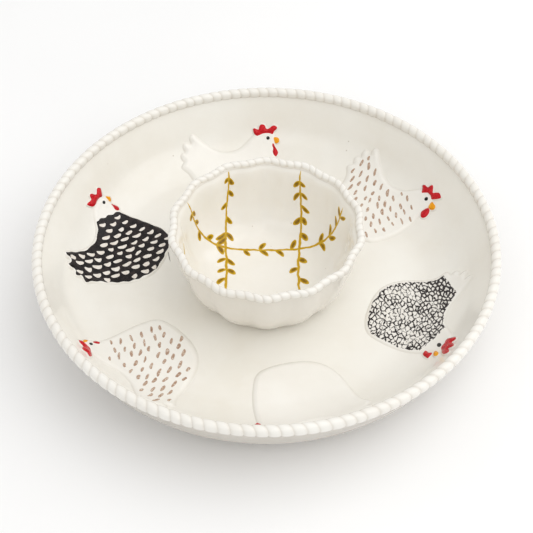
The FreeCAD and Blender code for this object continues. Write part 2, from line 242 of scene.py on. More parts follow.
class Mat:
    def __init__(self, name):
        self.m = bpy.data.materials.new(name)
        self.m.use_nodes = True
        self.t = self.m.node_tree
        self.t.nodes.clear()
        self.out = self.n("ShaderNodeOutputMaterial")
        self.b = self.n("ShaderNodeBsdfPrincipled")
        self.link(self.b.outputs["BSDF"], self.out.inputs["Surface"])
        self.tc = self.n("ShaderNodeTexCoord")
        self.pos = self.tc.outputs["Object"]

    def n(self, kind, **kw):
        nd = self.t.nodes.new(kind)
        for k, v in kw.items():
            setattr(nd, k, v)
        return nd

    def link(self, a, b):
        self.t.links.new(a, b)

    def noise(self, scale, detail=3.0, rough=0.55, distort=0.0, vec=None):
        nd = self.n("ShaderNodeTexNoise")
        nd.inputs["Scale"].default_value = scale
        nd.inputs["Detail"].default_value = detail
        nd.inputs["Roughness"].default_value = rough
        nd.inputs["Distortion"].default_value = distort
        self.link(vec or self.pos, nd.inputs["Vector"])
        return nd.outputs["Fac"]

    def ramp(self, fac, stops, interp="LINEAR"):
        nd = self.n("ShaderNodeValToRGB")
        cr = nd.color_ramp
        cr.interpolation = interp
        while len(cr.elements) < len(stops):
            cr.elements.new(0.5)
        for e, (p, c) in zip(cr.elements, stops):
            e.position = p
            e.color = c if len(c) == 4 else (*c, 1.0)
        self.link(fac, nd.inputs["Fac"])
        return nd.outputs["Color"]

    def mix(self, fac, a, b, blend="MIX"):
        nd = self.n("ShaderNodeMix", data_type="RGBA", blend_type=blend)
        for s, v in ((nd.inputs["Factor"], fac), (nd.inputs[6], a), (nd.inputs[7], b)):
            if hasattr(v, "is_output"):
                self.link(v, s)
            else:
                s.default_value = v
        return nd.outputs[2]

    def math(self, op, a, b=None, clamp=False):
        nd = self.n("ShaderNodeMath", operation=op, use_clamp=clamp)
        for s, v in zip(nd.inputs, (a, b)):
            if v is None:
                continue
            if hasattr(v, "is_output"):
                self.link(v, s)
            else:
                s.default_value = v
        return nd.outputs[0]

    def range(self, v, a, b, c=0.0, d=1.0, smoothed=True):
        nd = self.n("ShaderNodeMapRange", interpolation_type="SMOOTHSTEP" if smoothed else "LINEAR")
        self.link(v, nd.inputs["Value"])
        for k, x in zip(("From Min", "From Max", "To Min", "To Max"), (a, b, c, d)):
            nd.inputs[k].default_value = x
        return nd.outputs["Result"]

    def attr(self, name, vector=False):
        nd = self.n("ShaderNodeAttribute", attribute_name=name)
        return nd.outputs["Vector" if vector else "Fac"]

    def bump(self, height, strength, dist, normal=None):
        nd = self.n("ShaderNodeBump")
        nd.inputs["Strength"].default_value = strength
        nd.inputs["Distance"].default_value = dist
        self.link(height, nd.inputs["Height"])
        if normal is not None:
            self.link(normal, nd.inputs["Normal"])
        return nd.outputs["Normal"]

    def finish(self, color, rough, normal=None, coat=0.0, coat_rough=0.05, spec=0.5):
        i = self.b.inputs
        for s, v in ((i["Base Color"], color), (i["Roughness"], rough)):
            if hasattr(v, "is_output"):
                self.link(v, s)
            else:
                s.default_value = v
        if normal is not None:
            self.link(normal, i["Normal"])
            if coat > 0:
                self.link(normal, i["Coat Normal"])
        i["Coat Weight"].default_value = coat
        i["Coat Roughness"].default_value = coat_rough
        i["Specular IOR Level"].default_value = spec
        i["IOR"].default_value = 1.5
        return self.m


def white_glaze(name, base, deep, light, pool_and_shade_color=None, speck=True):
    """Gloss glaze over pale stoneware: cloudy tone, thin and thick patches, small specks, soft ripple, and a darker
    colour mixed in by a vertex attribute, partly glaze pooling in hollows and partly painted shade in crevices and on
    outer walls.
    """
    m = Mat(name)
    cloud = m.noise(17.0, 4.0, 0.55, 0.3)
    col = m.ramp(cloud, [(0.30, deep), (0.52, base), (0.74, light)])
    fine = m.noise(140.0, 3.0, 0.6)
    col = m.mix(m.range(fine, 0.45, 0.8, 0.0, 0.22), col, light)
    # Painted shade together with glaze pooling: the darker colour is mixed in by the per-vertex attribute each mesh
    # sets.
    if pool_and_shade_color is not None:
        pool = m.attr("pool")
        pn = m.math("MULTIPLY", pool, m.range(m.noise(60.0, 2.0), 0.2, 0.75, 0.85, 1.0))
        col = m.mix(pn, col, pool_and_shade_color)
    if speck:
        vo = m.n("ShaderNodeTexVoronoi", feature="F1")
        vo.inputs["Scale"].default_value = 95.0
        m.link(m.pos, vo.inputs["Vector"])
        gate = m.range(m.noise(37.0, 1.0), 0.60, 0.66)
        dot = m.math("MULTIPLY", m.range(vo.outputs["Distance"], 0.035, 0.075, 1.0, 0.0), gate)
        col = m.mix(m.math("MULTIPLY", dot, 0.40), col, srgb(150, 128, 100))
    rough = m.range(m.noise(45.0, 3.0), 0.3, 0.75, 0.17, 0.26)
    h = m.math("ADD", m.noise(32.0, 2.0, 0.5), m.math("MULTIPLY", m.noise(210.0, 2.0, 0.5), 0.06))
    nrm = m.bump(h, 0.20, 0.0011)
    return m.finish(col, rough, nrm, coat=0.30, coat_rough=0.09)


def paint(name, dark, mid, light, scale=220.0, rough=0.16, coat=0.45, edge=None, edge_from=0.0, edge_to=0.5, streak=1.0):
    """Brushed underglaze colour: uneven load of the brush, lighter where it thins at its edge."""
    m = Mat(name)
    n1 = m.noise(scale, 4.0, 0.6, 0.6)
    n2 = m.noise(scale * 3.1, 2.0, 0.5)
    f = m.math("ADD", m.math("MULTIPLY", n1, 0.8 * streak), m.math("MULTIPLY", n2, 0.2))
    col = m.ramp(f, [(0.28, dark), (0.48, mid), (0.70, light)])
    if edge is not None:
        e = m.range(m.math("ADD", m.attr("edge_d"), m.math("MULTIPLY", m.math("SUBTRACT", n1, 0.5), 0.5)),
                    edge_from, edge_to, 1.0, 0.0)
        col = m.mix(e, col, edge)
    r = m.range(n1, 0.3, 0.7, rough * 0.8, rough * 1.4)
    nrm = m.bump(f, 0.25, 0.0004)
    return m.finish(col, r, nrm, coat=coat, coat_rough=0.08, spec=0.22)


GLAZE_PLATTER = white_glaze("glaze_platter", srgb(240, 237, 229), srgb(236, 232, 222), srgb(243, 241, 234), srgb(178, 167, 152))
GLAZE_BOWL = white_glaze("glaze_bowl", srgb(243, 240, 233), srgb(239, 236, 227), srgb(245, 243, 237), srgb(190, 180, 164))
GLAZE_HEN = white_glaze("glaze_hen_white", srgb(241, 238, 231), srgb(237, 234, 226), srgb(244, 242, 236), srgb(204, 196, 180), speck=False)
GLAZE_ROPE = white_glaze("glaze_rope", srgb(238, 235, 228), srgb(234, 230, 222), srgb(241, 239, 233), srgb(200, 190, 174), speck=False)


def bisque():
    m = Mat("bare_foot_stoneware")
    a = m.noise(120.0, 5.0, 0.65)
    g = m.noise(900.0, 2.0, 0.5)
    col = m.ramp(a, [(0.3, srgb(196, 172, 140)), (0.55, srgb(212, 190, 160)), (0.8, srgb(224, 206, 180))])
    col = m.mix(m.range(g, 0.60, 0.72, 0.0, 0.5), col, srgb(150, 122, 92))
    return m.finish(col, m.range(g, 0.3, 0.7, 0.62, 0.85), m.bump(g, 0.5, 0.0003))


BISQUE = bisque()
RED = paint("comb_red", srgb(140, 4, 16), srgb(196, 10, 26), srgb(214, 30, 42), 300.0, rough=0.22, coat=0.06, edge=srgb(206, 60, 66), edge_to=0.25)
ORANGE = paint("beak_orange", srgb(214, 128, 0), srgb(238, 156, 8), srgb(248, 186, 46), 330.0, rough=0.22, coat=0.06, edge=srgb(240, 186, 90), edge_to=0.25)
BLACK_DOT = paint("eye_black", srgb(6, 5, 6), srgb(14, 12, 13), srgb(34, 32, 33), 400.0, rough=0.14, coat=0.12)
BLACK = paint("hen_black", srgb(10, 7, 7), srgb(22, 17, 17), srgb(58, 47, 45), 190.0, rough=0.26, coat=0.04, edge=srgb(52, 43, 41), edge_to=0.20)
CREAM = paint("scallop_cream", srgb(216, 205, 194), srgb(234, 227, 218), srgb(244, 240, 234), 260.0, rough=0.22, coat=0.1, edge=srgb(186, 172, 160), edge_to=0.10)


def fleck_paint():
    """Thin brown wash dabbed on with a dry brush, so the white shows through in places."""
    m = Mat("fleck_taupe")
    n1 = m.noise(760.0, 4.0, 0.65, 0.6)
    n2 = m.noise(1900.0, 2.0, 0.6)
    f = m.math("ADD", m.math("MULTIPLY", n1, 0.7), m.math("MULTIPLY", n2, 0.3))
    col = m.ramp(f, [(0.34, srgb(138, 102, 76)), (0.48, srgb(172, 140, 116)), (0.58, srgb(206, 186, 168)), (0.66, srgb(236, 230, 221))])
    e = m.range(m.math("ADD", m.attr("edge_d"), m.math("MULTIPLY", m.math("SUBTRACT", n1, 0.5), 1.9)), -0.05, 0.35, 1.0, 0.0)
    col = m.mix(e, col, srgb(238, 234, 226))
    return m.finish(col, m.range(n1, 0.3, 0.7, 0.16, 0.26), m.bump(f, 0.2, 0.0003), coat=0.2, coat_rough=0.09)


def vine_paint(name, deep, mid, light, rim):
    """Gold brush work with the colour pooled dark along the middle of each stroke."""
    m = Mat(name)
    n1 = m.noise(330.0, 4.0, 0.6, 0.8)
    d = m.math("ADD", m.attr("edge_d"), m.math("MULTIPLY", m.math("SUBTRACT", n1, 0.5), 1.3))
    col = m.ramp(m.range(d, 0.05, 1.75, 0.0, 1.0), [(0.0, rim), (0.20, light), (0.62, mid), (0.98, deep)])
    col = m.mix(m.range(m.noise(900.0, 2.0), 0.45, 0.75, 0.0, 0.35), col, light)
    return m.finish(col, m.range(n1, 0.3, 0.7, 0.18, 0.28), m.bump(n1, 0.25, 0.0004), coat=0.08, coat_rough=0.08, spec=0.22)


TAUPE = fleck_paint()
VINE = vine_paint("vine_gold", srgb(180, 136, 4), srgb(192, 150, 10), srgb(202, 162, 30), srgb(214, 182, 88))
LEAF = vine_paint("leaf_olive_gold", srgb(128, 94, 0), srgb(176, 136, 2), srgb(200, 160, 10), srgb(208, 174, 60))


def speckle_material():
    """Brushed net of black lines over white glaze, heavier along the back and the outline."""
    m = Mat("hen_speckled")
    uv = m.attr("hen_uv", True)
    wob = m.n("ShaderNodeTexNoise")
    wob.inputs["Scale"].default_value = 0.22
    wob.inputs["Detail"].default_value = 2.0
    m.link(uv, wob.inputs["Vector"])
    off = m.n("ShaderNodeVectorMath", operation="MULTIPLY_ADD")
    m.link(wob.outputs["Color"], off.inputs[0])
    off.inputs[1].default_value = (3.0, 3.0, 0.0)
    m.link(uv, off.inputs[2])
    flat = m.n("ShaderNodeMapping")
    flat.inputs["Rotation"].default_value = (0.0, 0.0, math.radians(35))
    flat.inputs["Scale"].default_value = (0.245, 0.335, 1.0)
    m.link(off.outputs["Vector"], flat.inputs["Vector"])
    vo = m.n("ShaderNodeTexVoronoi", feature="DISTANCE_TO_EDGE", voronoi_dimensions="2D")
    vo.inputs["Scale"].default_value = 1.0
    vo.inputs["Randomness"].default_value = 0.85
    m.link(flat.outputs["Vector"], vo.inputs["Vector"])
    sep = m.n("ShaderNodeSeparateXYZ")
    m.link(uv, sep.inputs["Vector"])
    load = m.noise(0.50, 3.0, 0.65, vec=uv)
    grit = m.noise(2.2, 3.0, 0.7, vec=uv)
    broad = m.range(m.noise(0.085, 2.0, 0.5, vec=uv), 0.36, 0.64, -0.035, 0.075)
    width = m.math("ADD", m.range(load, 0.30, 0.70, -0.01, 0.20), broad)
    width = m.math("ADD", width, m.range(sep.outputs["Y"], -36.0, -10.0, 0.0, 0.05))
    width = m.math("ADD", width, m.range(sep.outputs["X"], -40.0, -60.0, 0.0, 0.07))
    width = m.math("ADD", width, m.range(m.attr("edge_d"), 1.0, 4.5, 0.05, 0.0))
    dist = m.math("ADD", vo.outputs["Distance"], m.math("MULTIPLY", m.math("SUBTRACT", grit, 0.5), 0.16))
    line = m.math("SUBTRACT", dist, width)
    ink = m.range(line, -0.035, 0.03, 1.0, 0.0)
    dots = m.n("ShaderNodeTexVoronoi", feature="F1", voronoi_dimensions="2D")
    dots.inputs["Scale"].default_value = 0.62
    m.link(off.outputs["Vector"], dots.inputs["Vector"])
    spot = m.math("ADD", dots.outputs["Distance"], m.math("MULTIPLY", m.math("SUBTRACT", grit, 0.5), 0.5))
    spot = m.range(spot, 0.16, 0.24, 1.0, 0.0)
    spot = m.math("MULTIPLY", spot, m.range(m.noise(0.22, 2.0, vec=uv), 0.50, 0.56))
    ink = m.math("MAXIMUM", ink, spot)
    # ragged outer edge
    rim = m.math("ADD", m.attr("edge_d"), m.math("MULTIPLY", m.math("SUBTRACT", m.noise(0.42, 3.0, 0.65, vec=uv), 0.5), 4.6))
    ink = m.math("MULTIPLY", ink, m.range(rim, -0.05, 0.35))
    white = m.ramp(m.noise(0.4, 3.0, vec=uv), [(0.3, srgb(230, 226, 218)), (0.6, srgb(238, 235, 229)), (0.8, srgb(242, 240, 235))])
    black = m.ramp(grit, [(0.35, srgb(12, 9, 9)), (0.72, srgb(54, 46, 44))])
    col = m.mix(ink, white, black)
    nrm = m.bump(ink, 0.18, 0.0004)
    return m.finish(col, m.range(load, 0.3, 0.7, 0.17, 0.26), nrm, coat=0.1, coat_rough=0.08, spec=0.35)


SPECKLE = speckle_material()

# ---------------------------------------------------------------------------
# Platter
# ---------------------------------------------------------------------------
q = np.concatenate([np.linspace(0, 100, 52), np.linspace(101, Q_TOP, 74)])
r, z, _, _ = dish_meridian(q)
inside = np.stack([r, z], -1)
ua = np.linspace(COVE_PHI, 0, 24)
outer = [(LAND_OUT, LAND_Z), (LAND_OUT - 0.6, LAND_Z - 3.0)]
outer = round_curve([(158.45, LAND_Z), (158.75, LAND_Z + 0.8), (159.5, LAND_Z + 1.5), (162.6, LAND_Z + 1.2), (163.5, LAND_Z), (163.1, LAND_Z - 1.2),
                     (162.6, LAND_Z - 3.2)], 3).tolist()[1:]
arc = [(116.5 + 42.0 * math.sin(a), 46.5 - 42.0 * math.cos(a)) for a in ua]
outer += resample([outer[-1], arc[0]], 2.2).tolist()[1:] + arc[1:]
foot = round_curve([(113.0, 4.5), (110.6, 4.3), (109.3, 3.3), (109.0, 1.2), (108.3, 0.15), (107.4, 0.0)], 4).tolist()
foot_flat = [(106.4, 0.0), (105.4, 0.0), (104.4, 0.0)]
foot2 = round_curve([(103.6, 0.0), (102.7, 0.15), (102.0, 1.2), (101.8, 3.2), (100.7, 4.3), (98.5, 4.5)], 4).tolist()
under = [(x, 4.5) for x in np.linspace(94, 0, 28)]
prof = np.array(inside.tolist() + outer + foot + foot_flat + foot2 + under)
bare = np.array([1 if (101.9 < p[0] < 109.1 and p[1] < 0.9) else 0 for p in prof])
# Painted shade: a faint darker band on the lower curve of the wall near radius 122 mm, a darker line in the crease
# under the rope, and darker glaze over the whole outside wall and underside, darkest just under the rim.
pool = np.zeros(len(prof))
dmid = np.arange(len(prof))
for i, p in enumerate(prof):
    if i < len(inside):
        pool[i] = 0.04 * math.exp(-((p[0] - 122.0) / 7.0) ** 2) + 0.10 * math.exp(-((p[0] - 158.8) / 1.3) ** 2)
    elif p[0] > 95:
        pool[i] = 0.66 + 0.15 * math.exp(-((p[1] - 51.2) / 2.5) ** 2)
    else:
        pool[i] = 0.45


def dish_shift(R, Z, T):
    ins = np.zeros_like(R)
    ins[: len(inside)] = 1.0
    h = hand(R, T)
    a = np.clip((R - COVE_R0) / COVE_RHO, 0, math.sin(COVE_PHI))
    a = np.arcsin(a)
    out = np.where((Z > 6) & (ins < 0.5), 1.0, 0.0) * np.clip((LAND_Z - 2 - Z) / 10.0, 0, 1) * h
    return -h * np.sin(a) * ins + out * 0.6, h * np.cos(a) * ins


platter_dish = lathe("platter_dish", prof, 480, [GLAZE_PLATTER, BISQUE], face_mat=bare, attrs={"pool": pool}, shift=dish_shift)
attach(platter_dish, "platter")
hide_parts("platter_body")


def rope(name, ring, height, full, waist, land, beads, slant, mats, lobe=0.0, per=16, nj=30, stretch=1.0, seed=1):
    """Beads running round a rim, leaning off the radius, each a little different."""
    g = np.random.default_rng(seed)
    ja, jr, jh, jt = [np.clip(g.normal(0, k, beads), -2 * k, 2 * k) for k in (0.055, 0.010, 0.035, 0.07)]
    ni = beads * per
    s = np.arange(ni) / per
    b = np.floor(s).astype(int) % beads
    t = s - np.floor(s)
    x = np.abs(2 * t - 1)
    crown = np.clip(1 - x ** 2.3, 0, 1) ** 0.72
    nb = (b + 1) % beads
    ang0 = 2 * math.pi * (s + (1 - t) * ja[b] + t * ja[nb]) / beads
    phi = 2 * math.pi * np.arange(nj) / nj
    # glaze floods some of the hollows more than others
    flood = 0.22 + 0.22 * np.sin(5 * ang0 + seed) * np.sin(2 * ang0 + 1.0) + 0.10 * np.sin(17 * ang0)
    neck = waist + (full - waist) * flood
    rho = neck + (full - neck) * crown * (1 + 2.0 * jr[b])
    lift = jh[b] * crown
    # section: round on top, upright below, so the rope grows out of the wall
    cs, sn = np.cos(phi), np.sin(phi)
    cs = np.where(sn < 0, np.sign(cs) * np.abs(cs) ** 0.28, cs)
    out = rho[:, None] * cs[None]
    up = rho[:, None] * sn[None] * stretch + lift[:, None]
    lean = np.tan(np.radians(slant) + jt[b] * crown)[:, None]
    ang = ang0[:, None] + lean * out / ring
    rr = ring + out - lobe * np.cos(14 * ang)
    rr = np.minimum(rr, ring + 3.66)
    zz = np.clip(height + up, land, height + full)
    P = np.stack([rr * np.cos(ang), rr * np.sin(ang), zz], -1).reshape(-1, 3)
    # Painted shade: darker in the hollows between beads and towards the underside of the rope.
    pool = np.repeat(np.clip(1 - crown, 0, 1)[:, None] ** 1.3, nj, 1)
    low = np.clip((height - zz) / full, 0, 1) ** 2 * 0.5
    pool = np.clip(pool * 0.46 + low * 0.3, 0, 1).ravel()
    return make_mesh(name, P, grid_faces(ni, nj, True, True), mats, {"pool": pool})


platter_rope = rope("platter_rope", 161.3, 54.0, 3.60, 2.90, LAND_Z, 132, 27.0, GLAZE_ROPE, seed=5)
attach(platter_rope, "platter")
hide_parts("platter_bead_border")

# ---------------------------------------------------------------------------
# Relief hens
# ---------------------------------------------------------------------------
HEN = np.array([
    (-11.5, 3.2), (-13.8, 5.5), (-14.6, 9.6), (-13.0, 11.2), (-9.4, 10.2), (-8.2, 12.6), (-5.6, 14.0), (-2.8, 13.0),
    (-0.8, 10.4), (1.2, 11.6), (3.2, 13.3), (6.2, 13.0), (7.2, 10.0), (6.2, 6.4), (5.6, 3.4), (7.6, 2.6),
    (9.6, -0.6), (7.8, -4.0), (7.4, -6.4), (8.4, -10.6), (8.2, -13.6), (6.2, -15.0),
    (6.4, -18.5), (7.6, -25.0), (8.6, -32.0), (9.0, -40.0), (8.7, -47.0), (7.8, -53.5), (6.0, -58.0), (2.8, -61.4),
    (-1.8, -64.0), (-7.0, -65.8), (-13.4, -66.6), (-20.4, -66.4), (-26.8, -65.0), (-34.0, -62.0), (-40.4, -57.8),
    (-46.6, -52.0), (-52.4, -44.6), (-56.8, -37.4), (-60.6, -30.4), (-63.8, -24.2), (-67.6, -18.4),
    (-72.4, -13.4), (-73.2, -11.4), (-71.0, -8.6), (-72.6, -6.8), (-74.0, -3.4), (-72.6, -1.8), (-70.2, -1.4),
    (-71.8, 2.2), (-71.4, 5.2), (-69.4, 5.4), (-66.2, 3.4), (-64.8, 4.0), (-66.0, 7.2), (-65.0, 10.0),
    (-62.4, 10.0), (-59.0, 6.4),
    (-54.4, 1.6), (-49.4, -2.6), (-44.6, -6.0), (-40.0, -8.4), (-34.6, -9.8), (-28.6, -9.8), (-23.6, -8.2),
    (-19.6, -5.4), (-16.6, -2.6), (-13.4, -0.4),
])
HEN_BODY = round_curve(np.vstack([[(-15.6, -1.4), (-12.6, 1.6), (-9.2, 3.9), (-4.6, 5.2), (0.0, 5.4), (3.4, 4.4), (5.3, 2.0), (5.9, -1.6),
                                   (5.6, -6.0), (5.2, -11.0)], HEN[22:-2]]), 3, closed=True)
RELIEF = 1.6


def relief_height(d):
    """Height of the sprig over the dish at a distance inside its outline: rounded edge, dished foot."""
    t = np.clip((d + 0.5) / 3.6, 0, 1)
    body = RELIEF * (0.5 * smooth(t) + 0.5 * np.sqrt(np.clip(1 - (1 - t) ** 2, 0, 1)))
    swell = 0.22 * smooth((d - 2.0) / 12.0)
    foot = np.where(d < -0.5, (d + 0.5) * 0.5, 0.0)
    return body + swell + foot


HENS = {
    "back": (0.7, "hen_back_white", "white_hen"),
    "right": (61.3, "hen_right_brown_fleck", "brown_fleck_hen"),
    "right_front": (121.3, "hen_right_front_speckled", "speckled_hen"),
    "front": (180.1, "hen_front_white", "white_hen"),
    "left_front": (239.2, "hen_left_front_brown_fleck", "brown_fleck_hen"),
    "left": (297.4, "hen_left_black_scalloped", "black_hen"),
}


def film(d, thick, soft=0.45):
    """Thickness of a layer of paint over what it lies on: sunk outside its outline, proud inside."""
    return -0.16 + (0.16 + thick) * smooth((d + soft) / (2 * soft)) - 0.0


def dab(cx, cy, a, b, tilt):
    t = np.linspace(0, 2 * math.pi, 32, endpoint=False)
    c, k = math.cos(math.radians(tilt)), math.sin(math.radians(tilt))
    x, y = a * np.cos(t), b * np.sin(t)
    return np.stack([cx + x * c - y * k, cy + x * k + y * c], -1)


def brush(pts):
    return round_curve(pts, 4, closed=True)


HEADS = {
    "back": dict(
        comb=brush([(-12.8, 7.0), (-11.5, 7.5), (-9.4, 6.6), (-8.3, 6.6), (-7.6, 9.2), (-6.2, 10.5), (-4.4, 10.5), (-3.0, 9.4),
                    (-2.2, 7.4), (-0.8, 6.8), (1.0, 7.8), (2.8, 9.3), (5.0, 9.7), (6.8, 8.4), (6.4, 6.6), (4.6, 4.9), (3.6, 2.8),
                    (2.4, 2.5), (0.6, 3.2), (-2.8, 3.2), (-5.6, 2.6), (-8.0, 1.5), (-9.8, 1.2), (-11.6, 2.5), (-12.6, 4.8)]),
        eye=dab(-0.5, -0.8, 1.55, 1.45, 90),
        beak=brush([(4.2, -0.4), (5.6, 0.2), (8.0, -0.4), (8.8, -2.0), (8.3, -4.2), (6.6, -5.2), (5.2, -4.9), (4.4, -2.6)]),
        wattle=brush([(3.4, -5.2), (4.4, -5.7), (5.6, -8.2), (6.9, -10.2), (7.9, -12.6), (7.3, -14.8), (6.0, -16.2), (4.3, -14.9),
                      (3.5, -12.4), (3.8, -9.4), (3.0, -7.0)])),
    "right": dict(
        comb=brush([(-11.8, 6.2), (-10.2, 7.8), (-8.2, 8.0), (-6.5, 8.3), (-5.7, 10.5), (-4.2, 12.3), (-2.4, 11.4), (-0.8, 9.0),
                    (0.4, 8.1), (2.2, 9.8), (4.2, 11.4), (6.0, 12.0), (8.8, 11.0), (9.0, 9.6), (7.2, 7.4), (4.6, 4.9), (2.8, 3.6),
                    (1.2, 4.3), (-0.8, 4.9), (-3.4, 4.9), (-5.4, 3.5), (-7.4, 1.8), (-8.9, 2.5), (-10.5, 4.6)]),
        eye=dab(-0.8, 0.7, 1.75, 1.55, 60),
        beak=brush([(4.5, 2.3), (6.6, 2.6), (9.7, 2.3), (10.8, 0.4), (10.0, -1.5), (8.0, -2.8), (5.7, -3.0), (4.7, -1.6)]),
        wattle=brush([(5.3, -3.2), (7.6, -3.2), (9.4, -5.0), (10.1, -8.0), (9.5, -10.7), (7.4, -12.0), (5.1, -11.2), (3.8, -9.2),
                      (4.1, -6.4)])),
    "right_front": dict(
        comb=brush([(-7.3, 4.2), (-6.8, 7.6), (-4.9, 11.0), (-2.5, 13.2), (-1.3, 12.2), (-0.9, 9.4), (1.0, 11.2), (3.5, 14.6),
                    (6.2, 17.4), (7.3, 16.4), (6.5, 13.0), (6.7, 11.0), (9.2, 13.8), (12.2, 16.8), (13.5, 15.8), (12.3, 11.4),
                    (9.7, 6.6), (6.7, 3.2), (3.6, 1.2), (0.6, 0.2), (-2.0, 1.2), (-4.6, 0.8), (-6.3, 2.0)]),
        eye=dab(-1.0, -3.4, 3.0, 1.6, 52),
        beak=dab(7.2, -2.0, 3.9, 1.9, 50),
        wattle=brush([(4.1, -13.6), (6.5, -14.0), (8.6, -12.2), (10.6, -8.5), (11.3, -6.9), (9.5, -6.4), (7.0, -6.1), (5.4, -6.9),
                      (5.3, -9.5), (4.2, -11.5)])),
    "front": dict(
        comb=brush([(-12.9, 5.2), (-13.6, 8.4), (-12.6, 10.3), (-10.4, 10.1), (-8.3, 9.0), (-7.3, 11.2), (-5.8, 13.0), (-3.8, 12.4),
                    (-2.4, 10.0), (-0.7, 8.6), (1.4, 10.2), (3.6, 12.2), (5.7, 11.8), (6.2, 9.6), (5.0, 6.6), (3.2, 4.2),
                    (1.6, 3.8), (-2.4, 4.6), (-6.2, 4.2), (-9.6, 3.2)]),
        eye=dab(0.0, 0.0, 1.5, 1.5, 0),
        beak=brush([(4.7, -1.6), (4.4, 0.6), (5.2, 2.1), (6.6, 1.9), (8.1, 0.6), (8.7, -0.9), (7.4, -2.4), (5.9, -3.2)]),
        wattle=brush([(4.6, -4.2), (5.6, -5.2), (6.4, -7.6), (7.4, -10.2), (7.4, -12.4), (5.9, -13.7), (4.1, -12.9), (3.5, -10.6),
                      (3.7, -7.6), (3.8, -5.4)])),
    "left_front": dict(
        comb=brush([(-17.0, 13.4), (-14.6, 12.8), (-12.5, 12.4), (-12.2, 15.4), (-10.6, 16.4), (-8.4, 14.2), (-6.4, 11.4), (-4.2, 11.0),
                    (-2.6, 12.6), (-0.2, 12.2), (1.3, 9.6), (0.9, 7.4), (-1.0, 5.0), (-3.4, 3.4), (-6.0, 3.2), (-9.2, 4.2),
                    (-12.6, 6.2), (-15.4, 9.6)]),
        eye=dab(0.4, -1.0, 2.2, 1.25, -65),
        beak=dab(3.1, 2.7, 3.3, 1.3, -60),
        wattle=brush([(2.6, -4.2), (3.7, -5.3), (5.0, -7.4), (4.8, -9.5), (3.2, -10.7), (1.6, -9.6), (1.4, -7.4), (1.9, -5.5)])),
    "left": dict(
        comb=brush([(-13.6, 9.8), (-12.0, 10.4), (-9.6, 9.9), (-7.2, 10.0), (-6.6, 12.6), (-5.4, 13.4), (-3.6, 12.6), (-1.8, 10.4),
                    (-0.2, 9.4), (1.2, 10.5), (2.8, 12.1), (4.6, 12.0), (6.2, 10.2), (5.4, 8.0), (3.9, 5.4), (2.4, 4.6), (0.0, 5.3),
                    (-3.0, 5.3), (-6.0, 4.4), (-8.6, 4.4), (-10.5, 5.3), (-12.2, 7.4)]),
        eye=dab(0.1, 0.5, 1.45, 1.4, 0),
        beak=brush([(4.9, 2.2), (6.4, 2.0), (7.7, 0.5), (8.4, -0.4), (7.3, -2.5), (5.5, -3.2), (4.7, -1.7), (5.1, -0.2)]),
        wattle=brush([(4.8, -4.7), (5.5, -6.2), (6.5, -8.2), (7.1, -10.2), (6.3, -12.2), (4.8, -12.5), (3.2, -11.4), (2.9, -9.6),
                      (3.9, -7.4), (4.2, -5.5)])),
}


def hen_distance(u, v, key):
    """Distance inside a hen's raised outline: the body joined with its own comb, beak and wattle."""
    d = signed_distance(u, v, HEN_BODY)
    for part in ("comb", "beak", "wattle"):
        d = np.maximum(d, signed_distance(u, v, HEADS[key][part]) + 0.55)
    return d


def hen_height(u, v, key):
    return relief_height(hen_distance(u, v, key))


def hen_sheet(name, poly, key, step, thick, mat, soft=0.4, dome=0.0, dome_w=3.0, inside=None):
    def place(u, v, d):
        h = hen_height(u, v, key)
        h = np.maximum(h, 0.0) + film(d, thick, soft) + dome * smooth(d / dome_w)
        return hen_point(u, v, HENS[key][0], h)
    return sdf_patch(name, poly, step, soft + step, place, mat, inside=inside)


def hen_relief(key):
    step, margin = 0.6, 1.6
    us, vs = np.arange(-77.0, 18.0, step), np.arange(-70.0, 22.0, step)
    U, W = np.meshgrid(us, vs, indexing="ij")
    D = hen_distance(U, W, key)
    f = grid_faces(len(us), len(vs))
    f = f[(D > -margin).ravel()[f].all(1)]
    used = np.unique(f)
    idx = np.full(U.size, -1)
    idx[used] = np.arange(len(used))
    u, v, d = U.ravel()[used], W.ravel()[used], D.ravel()[used]
    P = hen_point(u, v, HENS[key][0], relief_height(d))
    # Painted shade: a thin darker ring round the foot of the sprig's outline.
    return make_mesh("hen_" + key + "_relief", P, idx[f][:, ::-1], GLAZE_HEN,
                     {"pool": np.clip(0.30 * np.exp(-((d + 0.2) / 0.9) ** 2), 0, 1)})


for key, (turn, node, slot_name) in HENS.items():
    piece = hen_relief(key)
    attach(piece, "platter")
    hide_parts(node)
    bits = (
        ("comb", 0.14, RED, 0.40, 2.6),
        ("beak", 0.13, ORANGE, 0.35, 1.6),
        ("wattle", 0.13, RED, 0.40, 1.6),
        ("eye", 0.12, BLACK_DOT, 0.20, 1.2),
    )
    for part, thick, mat, dome, dw in bits:
        ob = hen_sheet("hen_%s_%s" % (key, part), HEADS[key][part], key, 0.27, thick, mat, 0.22, dome, dw)
        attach(ob, "platter")

# Painted bodies and brush marks, all laid out by rule: the paint stops a little inside the sprig's
# outline and at a straight collar, and the marks stand in staggered rows with a loose hand.
COLLAR = (0.417, 0.909, -10.6)


def painted_body(inset, collar=0.0, seed=0.0, bare_tail=False):
    def inside(u, v):
        edge = 0.30 * np.sin(0.55 * u + 0.31 * v + seed) + 0.22 * np.sin(0.27 * u - 0.62 * v + 2.0 * seed)
        body = signed_distance(u, v, HEN_BODY) - inset + edge
        neck = COLLAR[2] + collar - (COLLAR[0] * u + COLLAR[1] * v) + 0.5 * np.sin(0.9 * u + seed)
        d = np.minimum(body, neck)
        if bare_tail:
            d = np.minimum(d, 24.4 + 0.52 * u - 0.85 * v + edge)
        return d
    return inside


